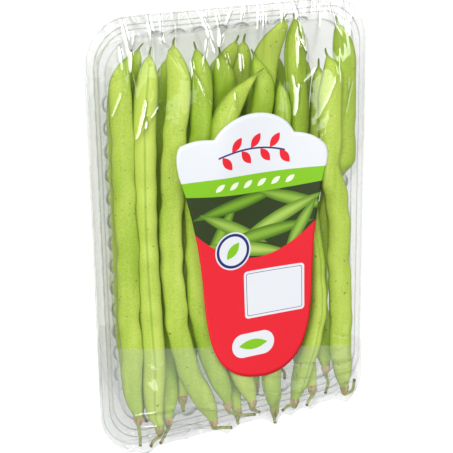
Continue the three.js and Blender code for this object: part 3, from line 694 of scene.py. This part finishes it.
def rim_columns(corner_steps, steps_x, steps_y):
    """Stations once round the tray, anticlockwise: the outward angle, and where the arc's
    centre stands between the corners, -1 to 1 along x and along y."""
    runs = []
    corners = [(1, 1), (-1, 1), (-1, -1), (1, -1)]
    for quarter, (kx, ky) in enumerate(corners):
        after = corners[(quarter + 1) % 4]
        arc = (quarter + np.arange(corner_steps) / corner_steps) * np.pi / 2
        runs.append(np.stack([arc, np.full(corner_steps, kx), np.full(corner_steps, ky)], axis=1))
        steps = steps_y if quarter % 2 else steps_x
        share = np.arange(steps)[:, None] / steps
        angle = np.full((steps, 1), (quarter + 1) * np.pi / 2)
        runs.append(np.concatenate([angle, (1 - share) * (kx, ky) + share * after], axis=1))
    return np.concatenate(runs).T


def tray_surface():
    """The tray's upper face as rings, and how dark the painted shade lines at its bends are.
    A rounded oblong is drawn in along a stepped profile, rounded by the mean of three readings.
    Flutes push the wall out: along a side each is half an oval, full under the ledge and a
    fifth as deep at the base."""
    angle, kx, ky = rim_columns(14, 110, 170)
    knots_in = np.array([0.5, 0, 0, FLANGE, STEP_IN, LEDGE_IN, BASE_IN - 1.2, BASE_IN + 1.6])
    knots_z = np.array([-1.8, -1.4, 0, 0, LEDGE_Z, LEDGE_Z, 2.5 - DEPTH, -DEPTH])
    reach = np.concatenate([[0], np.cumsum(np.hypot(np.diff(knots_in), np.diff(knots_z)))])
    near_bends = reach[1:-1, None] + np.linspace(-0.7, 0.7, 6)
    between = np.linspace(reach[5], reach[6], 9)
    out = np.unique(np.concatenate([near_bends.ravel(), between, reach[[0, -1]]]))
    inset, z = (
        sum(np.interp(out + off, reach, knots) for off in (-0.4, 0, 0.4))[:, None] / 3
        for knots in (knots_in, knots_z)
    )
    radius = CORNER - CORNER_TIGHTENS * inset
    cx, cy = HALF_X - inset - radius, HALF_Y - inset - radius
    on_x_side = np.abs(kx) < 1
    on_y_side = np.abs(ky) < 1
    along = np.where(on_x_side, kx * cx, ky * cy)
    count = np.where(on_x_side, FLUTES_X, FLUTES_Y)
    nearest = np.clip(np.round(along / FLUTE_PITCH + (count - 1) / 2), 0, count - 1) - (count - 1) / 2
    off = np.abs(along - nearest * FLUTE_PITCH)
    wave = np.sqrt(np.clip(1 - (off / (FLUTE_WIDTH / 2 + 0.3)) ** 2, 0, 1)) * (on_x_side | on_y_side)
    fade = smooth_step((LEDGE_Z + 0.05 - z) / 0.5) * (0.22 + 0.78 * smooth_step((z + DEPTH) / 24))
    push = FLUTE_DEEP * wave * fade
    x = kx * cx + (radius + push) * np.cos(angle)
    y = ky * cy + (radius + push) * np.sin(angle)
    # Painted shade: thin dark lines along the bends, each a bell round its bend
    lines = [reach[2], reach[3], reach[4], reach[5] + 0.55, reach[6]]
    bend = sum(bell(out - line, 0.2) * share for line, share in zip(lines, PAINTED_BEND_SHADES))
    bend = np.concatenate([bend, np.zeros(14)])[:, None] * np.ones(len(angle))
    walls = np.stack([x, y, np.broadcast_to(z, x.shape)], axis=2)
    shrink = np.linspace(0.97, 0.06, 14)[:, None, None]
    base = walls[-1] * shrink
    base[:, :, 2] = -DEPTH + 0.5 * smooth_step((0.86 - shrink[:, :, 0]) / 0.05)
    return np.concatenate([walls, base]), bend


def make_tray(material):
    """The tray: its upper face, with the sheet's thickness added below."""
    rings, bend = tray_surface()
    rows, columns = rings.shape[:2]
    points = np.concatenate([rings.reshape(-1, 3), rings[-1].mean(axis=0)[None]])
    last = np.arange(columns) + (rows - 1) * columns
    faces = [grid_quads(rows, columns, True), cap_fan(last, rows * columns, False)]
    piece = make_mesh("tray_clear", points, faces)
    # The painted shade lines at the bends, for the sheet's finish to read
    add_values(piece, "bend", np.concatenate([np.ravel(bend), [0]]))
    wall = piece.modifiers.new("wall", "SOLIDIFY")
    wall.thickness = SHEET * MM
    wall.offset = -1
    dress(piece, "tray", "clear_tray", material)


def tent_out(x):
    """How far the stems push the film out at the stem end: the highest of pointed tents,
    each a power of how near its middle is, or the least push."""
    share = np.clip(1 - np.abs(x[..., None] - TENTS[:, 0]) / TENT_REACH, 0, 1) ** TENT_POWER
    return np.maximum((share * TENTS[:, 1]).max(axis=-1), TENT_LEAST)


def film_plan():
    """The film's grid in plan: rows across the pack, closer near its ends, each from one
    long edge to the other; the edges follow the rim's rounded corners."""
    level = np.linspace(-1, 1, FILM_ROWS)
    edge_x, edge_y = HALF_X + FILM_CLEAR, HALF_Y + FILM_CLEAR
    y = edge_y * (0.45 * level + 0.55 * np.sin(level * np.pi / 2))
    sides = []
    for corner in (np.full(FILM_ROWS, CORNER), np.where(y < 0, PUSHED_CORNER, CORNER)):
        past = np.clip(np.abs(y) - (edge_y - corner), 0, corner)
        sides.append(edge_x - corner + np.sqrt(corner**2 - past**2))
    share = np.linspace(0, 1, FILM_COLUMNS)
    x = -sides[0][:, None] + share * (sides[0] + sides[1])[:, None]
    push = tent_out(x) * np.clip((-y[:, None] - TENT_FROM) / (edge_y - TENT_FROM), 0, 1)
    return x, y[:, None] - push, y, sides


def creases(x, y, random):
    """How far creases lift the film. Each is a bell across a slightly bent line, that widens
    along it, starts by a smooth step and fades by a power of the way left."""
    height = np.zeros_like(x)

    def crease(x0, y0, angle, length, width, rise):
        ahead = (x - x0) * np.cos(angle) + (y - y0) * np.sin(angle)
        aside = -(x - x0) * np.sin(angle) + (y - y0) * np.cos(angle)
        aside = aside + 0.004 * ahead * ahead * np.sign(rise)
        share = np.clip(ahead / length, -0.2, 1)
        along = smooth_step(share * 6 + 0.6) * (1 - share) ** 1.5
        height[:] += rise * bell(aside, width * (0.5 + np.abs(share))) * along

    # From the beak end's edge inwards
    for x0 in np.linspace(-70, 74, 30) + random.normal(0, 1.5, 30):
        aim = -np.pi / 2 + random.normal(0, 0.22) - 0.0045 * (x0 - 10)
        reach = random.choice([14, 22, 34, 48], p=[0.3, 0.3, 0.25, 0.15]) * random.uniform(0.8, 1.2)
        crease(x0, 112, aim, reach, random.uniform(0.9, 1.7), random.uniform(0.35, 0.9))
    # A fan of fine gathers to the right of the beak end's middle
    for x0 in np.linspace(18, 34, 9):
        crease(x0, 104, -np.pi / 2 - 0.02 * (x0 - 26), 40, 0.55, 0.22)
    # From the stem end's edge inwards, short
    for x0 in np.linspace(-66, 72, 14) + random.normal(0, 2, 14):
        aim = np.pi / 2 + random.normal(0, 0.5)
        crease(x0, -112, aim, random.uniform(8, 22), random.uniform(0.7, 1.3), 0.5)
    # Long ones across the stem end, from the left and from the right
    for y0 in (-105, -99, -92):
        crease(-62, y0, random.normal(0.03, 0.05), 120, 0.9, 0.5)
        crease(72, y0 + 4, np.pi + random.normal(0.03, 0.05), 110, 0.9, 0.45)
    # Loose ones near the beak end, lengthways
    for _ in range(26):
        place = random.uniform((-66, 62), (66, 104))
        aim = -np.pi / 2 + random.normal(0, 0.35)
        length = random.uniform(12, 34)
        crease(*place, aim, length, random.uniform(0.8, 1.5), random.uniform(0.4, 0.8))
    # Faint ones anywhere
    for _ in range(16):
        place = random.uniform((-74, -80), (74, 90))
        aim = random.uniform(0, 2 * np.pi)
        crease(*place, aim, random.uniform(8, 24), random.uniform(0.7, 1.3), 0.14)
    return height


def laid_height(x, y, y_rows, sides, clouds):
    """The height of a taut film over the heap, and the lowest that it may lie. Each corner
    of the heap lifts the grid's corners round it, and the rest is drawn straight between.
    Then the film is eased and pressed back up, a few times over."""
    low = np.full(x.shape, -40.0)
    points = np.concatenate(clouds)
    push = tent_out(points[:, 0]) * np.clip((-points[:, 1] - TENT_FROM) / (HALF_Y - TENT_FROM), 0, 1)
    row = np.interp(points[:, 1] + push, y_rows, np.arange(FILM_ROWS))
    left = np.interp(points[:, 1], y_rows, sides[0])
    right = np.interp(points[:, 1], y_rows, sides[1])
    column = (points[:, 0] + left) / (left + right) * (FILM_COLUMNS - 1)
    for ahead in (0, 1):
        for aside in (0, 1):
            i = np.clip(np.floor(row).astype(int) + ahead, 0, FILM_ROWS - 1)
            j = np.clip(np.floor(column).astype(int) + aside, 0, FILM_COLUMNS - 1)
            np.maximum.at(low, (i, j), points[:, 2] + FILM_RISE)
    edge = np.zeros(x.shape, bool)
    edge[[0, -1]] = edge[:, [0, -1]] = True
    low[edge] = np.maximum(low[edge], FILM_RISE)
    z = np.maximum(low, FILM_RISE)
    for _ in range(DRAWING_ROUNDS):
        z[1:-1, 1:-1] = np.maximum(low[1:-1, 1:-1], drawn_level(z))
    for _ in range(PRESSING_ROUNDS):
        z = eased(z, 14)
        z += eased(np.maximum(low - z, 0), 10) * 1.5
    return np.maximum(eased(z, 4), low - 0.25), low


def eased(z, rounds):
    """A height smoothed in the middle, with its edge held."""
    z = z.copy()
    for _ in range(rounds):
        z[1:-1, 1:-1] = drawn_level(z)
    return z


def drawn_level(z):
    """The mean of each inner corner's four neighbours."""
    return (z[:-2, 1:-1] + z[2:, 1:-1] + z[1:-1, :-2] + z[1:-1, 2:]) / 4


def border_of(grid):
    """The grid's edge, anticlockwise from above."""
    return np.concatenate([grid[0], grid[1:-1, -1], grid[-1, ::-1], grid[1:-1, 0][::-1]])


def film_skirt(border):
    """The film below its border: down the tray's sides to its foot, in pleats that are a
    sum of sines and full halfway down, and then level towards the underside's middle."""
    foot_x, foot_y = HALF_X - BASE_IN + FOOT_CLEAR, HALF_Y - BASE_IN + FOOT_CLEAR
    foot = np.stack([
        border[:, 0] * foot_x / HALF_X,
        np.clip(border[:, 1], -HALF_Y, HALF_Y) * foot_y / HALF_Y,
        np.full(len(border), FLOOR_Z + FOOT_RISE),
    ], axis=1)
    top = border.copy()
    top[:, 2] = SKIRT_TOP
    outward = np.sign(border) * (1, 1, 0)
    run = np.arange(len(border))
    pleats = 0.45 * np.sin(run * 0.9 + 2 * np.sin(run * 0.11)) + 0.35 * np.sin(run * 0.37)
    rows = []
    for share in np.linspace(0, 1, SKIRT_ROWS):
        level = top * (1 - share) + foot * share
        rows.append(level + outward * (pleats * 4 * share * (1 - share))[:, None])
    rows.extend(foot * (share, share, 1) for share in LAP_ROWS)
    return np.stack(rows)


def make_film(material, clouds):
    """The film as one closed bag: over the heap with its creases, down the tray's sides,
    and under it, where its laps meet in the middle."""
    random = np.random.default_rng(7)
    x, y, y_rows, sides = film_plan()
    taut, low = laid_height(x, y, y_rows, sides, clouds)
    folds = creases(x, y, random)
    grid = np.stack([x, y, taut + folds * smooth_step((taut - low) / 0.8 + 0.6)], axis=2)
    skirt = film_skirt(border_of(grid))
    underside = [[0, 0, FLOOR_Z + FOOT_RISE]]
    points = np.concatenate([grid.reshape(-1, 3), skirt.reshape(-1, 3), underside])
    count = FILM_ROWS * FILM_COLUMNS
    rows, columns = skirt.shape[:2]
    ring = border_of(np.arange(count).reshape(FILM_ROWS, FILM_COLUMNS))
    below = np.arange(columns) + count
    belt = np.stack([ring, below, np.roll(below, -1), np.roll(ring, -1)], axis=1)
    faces = [
        grid_quads(FILM_ROWS, FILM_COLUMNS, False),
        belt,
        grid_quads(rows, columns, True)[:, ::-1] + count,
        cap_fan(below + (rows - 1) * columns, len(points) - 1, True),
    ]
    piece = make_mesh("film_stretched", points, faces)
    sharp = np.clip(np.abs(folds) / FULL_FOLD, 0, 1).ravel()
    add_values(piece, "fold", np.concatenate([sharp, np.zeros(len(points) - len(sharp))]))
    dress(piece, "film", "clear_film", material)
    return x, y, taut


def bezier(start, first, second, end, steps=16):
    """Points of a curve that leaves start towards first and comes to end from second, by
    the four terms of (1 - t) + t to the third power. The end itself is left out."""
    t = np.linspace(0, 1, steps, endpoint=False)[:, None]
    points = (start, first, second, end)
    weights = ((1 - t) ** 3, 3 * t * (1 - t) ** 2, 3 * t * t * (1 - t), t**3)
    return sum(weight * np.array(point, float) for weight, point in zip(weights, points))


def label_outline():
    """A raised round middle between two shoulders, sides that draw in and a round foot."""
    start = (-33.2, 46)
    bends = [
        ((-35.6, 43.3), (-35.7, 38), (-33.9, 30)),
        ((-27.2, 10), (-23.3, -10), (-22, -30)),
        ((-20.5, -60), (-20, -84), (12.5, -85)),
        ((36, -84), (40, -64), (41, -38)),
        ((41.3, -10.7), (43.5, 12), (47.5, 28)),
        ((49.2, 34), (48, 38.3), (44.2, 41)),
        ((41, 44), (36, 45.8), (30, 46.5)),
        ((24, 62), (-6, 63), (-15, 47.5)),
        ((-22.3, 48.5), (-27.8, 48), start),
    ]
    starts = [start, *(bend[2] for bend in bends)]
    return np.concatenate([bezier(place, *bend) for place, bend in zip(starts, bends)])


def height_on(grid, x, y, plan):
    """The height of the film's grid at places in plan: the four corners round a place, each
    weighted by how near it is along and across."""
    row = np.interp(plan[..., 1], y[:, FILM_COLUMNS // 2], np.arange(FILM_ROWS))
    i = np.clip(row.astype(int), 0, FILM_ROWS - 2)
    t = row - i
    column = (plan[..., 0] - x[i, 0]) / (x[i, -1] - x[i, 0]) * (FILM_COLUMNS - 1)
    j = np.clip(column.astype(int), 0, FILM_COLUMNS - 2)
    s = column - j
    return (
        grid[i, j] * (1 - t) * (1 - s) + grid[i + 1, j] * t * (1 - s)
        + grid[i, j + 1] * (1 - t) * s + grid[i + 1, j + 1] * t * s
    )


def make_label(material, x, y, taut):
    """The label as a thin sheet: its outline is shrunk in rings towards its middle, and it
    lies on the film as a stiff paper does, at the film's height drawn straight and eased."""
    outline = label_outline()
    shares = np.linspace(1, 0.04, 30)
    plan = LABEL_MIDDLE + shares[:, None, None] * (outline - LABEL_MIDDLE)
    stiff = taut.copy()
    for _ in range(STIFFENING_ROUNDS):
        stiff[1:-1, 1:-1] = np.maximum(taut[1:-1, 1:-1], drawn_level(stiff))
    height = height_on(eased(stiff, EASING_ROUNDS), x, y, plan) + LABEL_OVER
    top = np.concatenate([plan, height[..., None]], axis=2)
    under = top - (0, 0, PAPER)
    points, faces = closed_tube(np.concatenate([under[::-1], top]))
    piece = make_mesh("label_paper", points, faces)
    dress(piece, "label", "label_paper", material)


def inside(edge):
    """1 where a distance from an outline, in millimetres, is positive, with a soft edge."""
    return edge.between(-0.07, 0.07)


def leaf(x, y, middle, degrees, length, width):
    """How far a point lies inside a leaf with two pointed ends: the half width, less the
    square of the way to an end, less the distance from the leaf's line."""
    cosine, sine = float(np.cos(np.radians(degrees))), float(np.sin(np.radians(degrees)))
    x, y = x - middle[0], y - middle[1]
    along, aside = x * cosine + y * sine, y * cosine - x * sine
    share = along * (2 / length)
    return (1 - share * share) * (width / 2) - abs(aside)


def disc(x, y, middle, radius):
    """How far a point lies inside a disc: the radius less its distance from the middle."""
    away = (x - middle[0]) ** 2 + (y - middle[1]) ** 2
    return radius - away**0.5


def panel(x, y, middle, half_wide, half_high, corner):
    """How far a point lies inside a panel with rounded corners."""
    past_x = (abs(x - middle[0]) - (half_wide - corner)).most(0)
    past_y = (abs(y - middle[1]) - (half_high - corner)).most(0)
    return corner - (past_x**2 + past_y**2) ** 0.5


WHITE_PAPER = srgb(232, 235, 240)
NAVY = srgb(38, 48, 120)
RED = srgb(236, 34, 50)
BAND_GREEN = srgb(134, 200, 30)
DARK_GREEN = srgb(52, 66, 34)


def print_sprig(finish, tone, x, y):
    """A stalk along an arc, with leaves by turns below and above it."""
    stalk = disc(x, y, ARC_MIDDLE, ARC_RADIUS)
    stalk = stalk.least(0.9 - stalk).least(19.0 - abs(x - ARC_MIDDLE[0]))
    tone = finish.mix(inside(stalk), tone, NAVY)
    for number in range(LEAVES):
        foot = LEAF_FIRST + LEAF_PITCH * number
        side = 1 if number % 2 else -1
        height = ARC_MIDDLE[1] + np.sqrt((ARC_RADIUS - 0.5) ** 2 - (foot - ARC_MIDDLE[0]) ** 2)
        middle = (foot + 2.4, height + side * 3.9)
        tone = finish.mix(inside(leaf(x, y, middle, side * 52, 9.0, 4.4)), tone, RED)
    return tone


def print_pods(finish, tone, picture, x, y):
    """Crossed pods inside the picture, each lighter along its middle."""
    for px, py, degrees, length, width, light in PRINTED_PODS:
        shape = leaf(x, y, (px, py), degrees, length, width)
        light_skin = srgb(120 + 60 * light, 170 + 40 * light, 40 + 60 * light)
        deep_skin = srgb(70 + 40 * light, 112 + 40 * light, 26 + 20 * light)
        skin = finish.mix(shape.between(0, width * 0.45), deep_skin, light_skin)
        tone = finish.mix(inside(shape) * picture, tone, skin)
    return tone


def print_badge_and_panels(finish, tone, x, y):
    """A round badge with a leaf, a bare panel and an oval with a leaf. A ring or a line
    round one is its shape less a smaller one."""
    tone = finish.mix(inside(disc(x, y, BADGE, 10.2)), tone, WHITE_PAPER)
    ring = disc(x, y, BADGE, 9.4).least(-disc(x, y, BADGE, 7.9))
    tone = finish.mix(inside(ring), tone, NAVY)
    tone = finish.mix(inside(leaf(x, y, BADGE, 50, 11, 5)), tone, BAND_GREEN)
    tone = finish.mix(inside(panel(x, y, PANEL, 17.5, 13.0, 2.0)), tone, WHITE_PAPER)
    line = panel(x, y, PANEL, 16.2, 11.7, 1.2).least(-panel(x, y, PANEL, 15.9, 11.4, 1.0))
    tone = finish.mix(inside(line), tone, NAVY)
    tone = finish.mix(inside(panel(x, y, OVAL, 12.5, 6.5, 6.5)), tone, WHITE_PAPER)
    return finish.mix(inside(leaf(x, y, OVAL, 0, 17, 5.5)), tone, BAND_GREEN)


def label_material():
    """Coated paper with a plain print of its own: a sprig on white, a green band with a row
    of small leaves, crossed pods on dark green, and bare white panels on red. The fields
    arch by the square of the distance from the label's middle."""
    finish = Finish("label_print")
    x, y = finish.plan()
    from_middle = x - float(LABEL_MIDDLE[0])
    arch = from_middle * from_middle
    tone = print_sprig(finish, WHITE_PAPER, x, y)

    tone = finish.mix(inside(BAND_TOP - y), tone, BAND_GREEN)
    small = leaf((x + 40).math("FLOORED_MODULO", 8.0) - 4.0, y, (0, 22.0), 35, 6.2, 2.8)
    row = inside(small.least(24 - abs(from_middle)))
    tone = finish.mix(row, tone, srgb(240, 248, 225))

    picture = inside(BAND_FOOT - y + arch * 0.0016)
    tone = print_pods(finish, finish.mix(picture, tone, DARK_GREEN), picture, x, y)
    tone = finish.mix(inside(-y - 18.5 + arch * 0.0145), tone, RED)
    tone = print_badge_and_panels(finish, tone, x, y)

    coat = finish.noise(300, 2)
    shader = finish.node("BsdfPrincipled", {"Base Color": tone, "Roughness": 0.3 + coat * 0.06})
    return finish.close(shader)


def make_floor():
    """A wide pale floor that glows a little, but lights no matt surface."""
    mesh = bpy.data.meshes.new("floor")
    corners = [(x * FLOOR_HALF, y * FLOOR_HALF, 0) for x, y in ((-1, -1), (1, -1), (1, 1), (-1, 1))]
    mesh.from_pydata(corners, [], [(0, 1, 2, 3)])
    floor = bpy.data.objects.new("floor", mesh)
    bpy.context.scene.collection.objects.link(floor)
    floor.visible_diffuse = False
    finish = Finish("pale_floor")
    tone = finish.mix(finish.noise(3, 2), (0.93, 0.93, 0.93), (0.96, 0.96, 0.96))
    matt = {"Base Color": tone, "Roughness": 0.9, "Specular IOR Level": 0.1}
    glow = {"Emission Color": (1, 1, 1, 1), "Emission Strength": FLOOR_GLOW}
    mesh.materials.append(finish.close(finish.node("BsdfPrincipled", {**matt, **glow})))


def light_pack():
    """An even pale sky, the soft boxes, and the boxes that only shine back, each where the
    camera's lines mirrored in its patch reach its height."""
    world = bpy.data.worlds.new("studio")
    world.use_nodes = True
    world.node_tree.nodes["Background"].inputs["Color"].default_value = (1, 1, 1, 1)
    world.node_tree.nodes["Background"].inputs["Strength"].default_value = SKY_GLOW
    world.cycles_visibility.glossy = False
    bpy.context.scene.world = world
    for name, (place, size, power) in SOFT_BOXES.items():
        soft_box(name, place, size, power)
    reach = SHINE_HEIGHT / CAMERA_PLACE[2]
    for number, (middle, size, turn, shape, radiance) in enumerate(SHINE, 1):
        place = np.array(middle) + (np.array(middle) - CAMERA_PLACE[:2]) * reach
        wide, high = np.array(size) * (1 + reach) * MM
        lamp = add_lamp(f"shine_{number}", shape, (wide, high), radiance * wide * high * np.pi)
        lamp.visible_diffuse = False
        sine, cosine = np.sin(np.radians(turn)), np.cos(np.radians(turn))
        high_up = to_pack_frame([*place, SHINE_HEIGHT])
        lamp.matrix_world = turned((cosine, sine, 0), (-sine, cosine, 0), (0, 0, 1), high_up)


def soft_box(name, place, size, power):
    """A soft light that faces the pack and doesn't show in smooth surfaces."""
    lamp = add_lamp(name, "RECTANGLE", size, power)
    lamp.visible_glossy = False
    back = np.array(place, float) / norm(place)
    right = np.cross((0, 1, 0), back)
    right /= norm(right)
    lamp.matrix_world = turned(right, np.cross(back, right), back, place)


def add_lamp(name, shape, size, power):
    """A flat lamp of a size in metres and a power in watts, that the camera doesn't see."""
    light = bpy.data.lights.new(name, "AREA")
    light.shape = shape
    light.size, light.size_y = size
    light.energy = power
    lamp = bpy.data.objects.new(name, light)
    lamp.visible_camera = False
    bpy.context.scene.collection.objects.link(lamp)
    return lamp


def turned(right, up, back, place):
    """A matrix from an object's three directions and its place, in metres."""
    rows = np.eye(4)
    rows[:3, 0], rows[:3, 1], rows[:3, 2], rows[:3, 3] = right, up, back, place
    return Matrix(rows.tolist())


def set_camera():
    """The photograph's camera. Its lens is its focal length in pixels times the sensor's
    width over the picture's."""
    camera = bpy.data.cameras.new("camera")
    camera.sensor_width = SENSOR
    camera.lens = FOCAL_PIXELS / PHOTO_PIXELS * SENSOR
    camera.clip_start = 0.01
    holder = bpy.data.objects.new("camera", camera)
    bpy.context.scene.collection.objects.link(holder)
    right = CAMERA_RIGHT / norm(CAMERA_RIGHT)
    up = CAMERA_UP - CAMERA_UP.dot(right) * right
    up /= norm(up)
    holder.matrix_world = turned(right, up, np.cross(right, up), to_pack_frame(CAMERA_PLACE))
    bpy.context.scene.camera = holder


set_camera()
skin, stem_skin = pod_material(), stem_material()
clouds = []
for number in range(1, len(STEMS) + 1):
    clouds.extend(make_bean(number, skin, stem_skin))
make_tray(clear_sheet(
    "tray_plastic", clear=0.985, faint=0.04, haze=0.05, painted_slant_shade=0.12, relief=0.0001, bent=True
))
film_finish = clear_sheet(
    "film_plastic", clear=0.99, faint=0.06, haze=0.004, painted_slant_shade=0.2, relief=0.0002, lapped=True
)
plan_x, plan_y, taut = make_film(film_finish, clouds)
make_label(label_material(), plan_x, plan_y, taut)
make_floor()
light_pack()

scene = bpy.context.scene
scene.view_settings.view_transform = "Standard"
scene.cycles.transparent_max_bounces = 32
